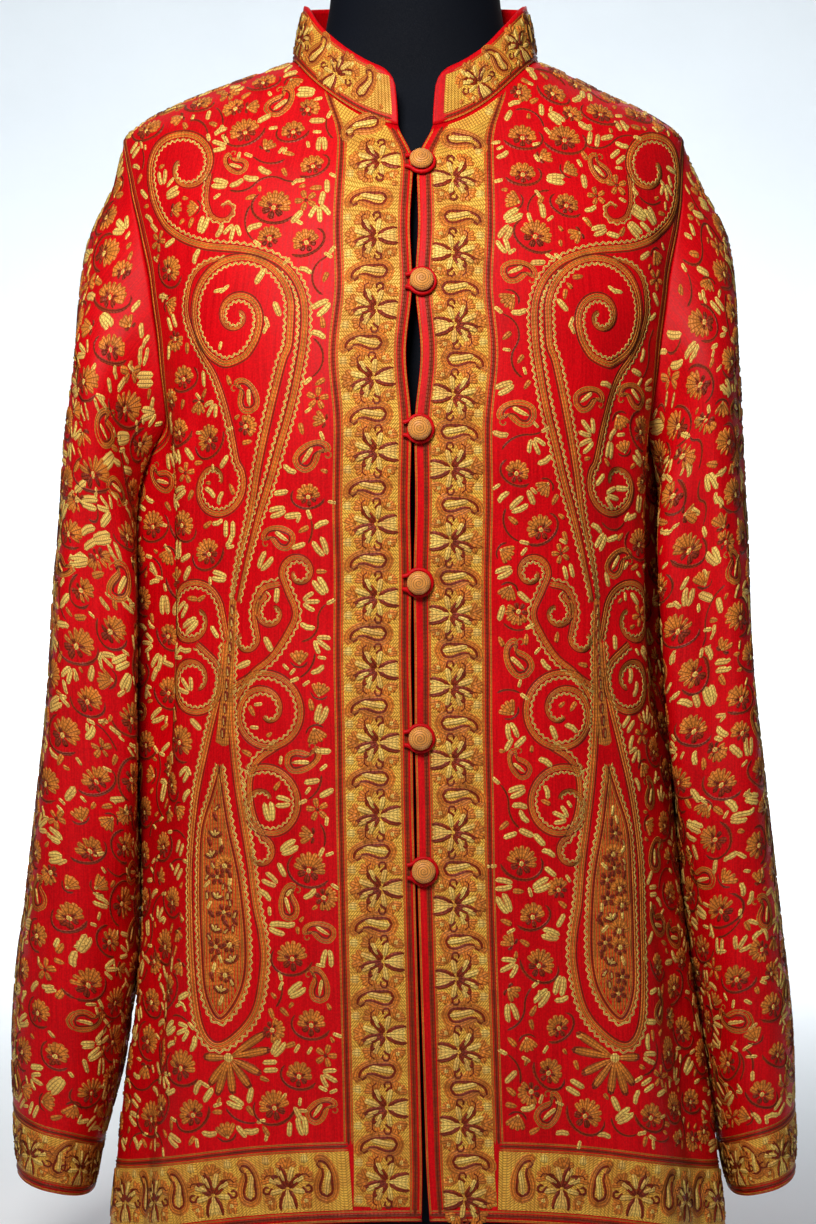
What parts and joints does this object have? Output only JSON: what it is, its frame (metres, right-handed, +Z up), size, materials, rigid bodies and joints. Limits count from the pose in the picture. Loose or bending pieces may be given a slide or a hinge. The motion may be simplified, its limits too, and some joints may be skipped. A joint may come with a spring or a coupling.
{
  "type": "silk jacket on dress form",
  "caption": "Hip-length A-line silk jacket with stand collar, long sleeves and ball-button front, on a limbless dress form.",
  "frame": {"origin": "on the floor, under the middle of the jacket on its form", "axes": "+Z up, +X to the wearer's left, -Y the way the wearer faces"},
  "size_m": [0.5296, 0.2769, 0.91],
  "materials": {
    "silk": "crimson slubbed silk with a soft sheen",
    "gold_embroidery": "dense light-gold chain stitch, matt with a silky glint",
    "ochre_embroidery": "ochre chain stitch, matt with a silky glint",
    "rust_embroidery": "rust-brown chain stitch, matt",
    "button_thread": "ochre-orange thread wound in a spiral",
    "form_jersey": "blue-black stretch jersey, matt"
  },
  "bodies": {
    "root": {"front_right": "silk", "front_left": "silk", "back": "silk", "sleeve_right": "silk", "sleeve_left": "silk", "collar": "gold_embroidery", "button_1": "button_thread", "button_2": "button_thread", "button_3": "button_thread", "button_4": "button_thread", "button_5": "button_thread", "button_6": "button_thread", "loop_1": "silk", "loop_2": "silk", "loop_3": "silk", "loop_4": "silk", "loop_5": "silk", "loop_6": "silk", "dress_form": "form_jersey"}
  },
  "joints": []
}
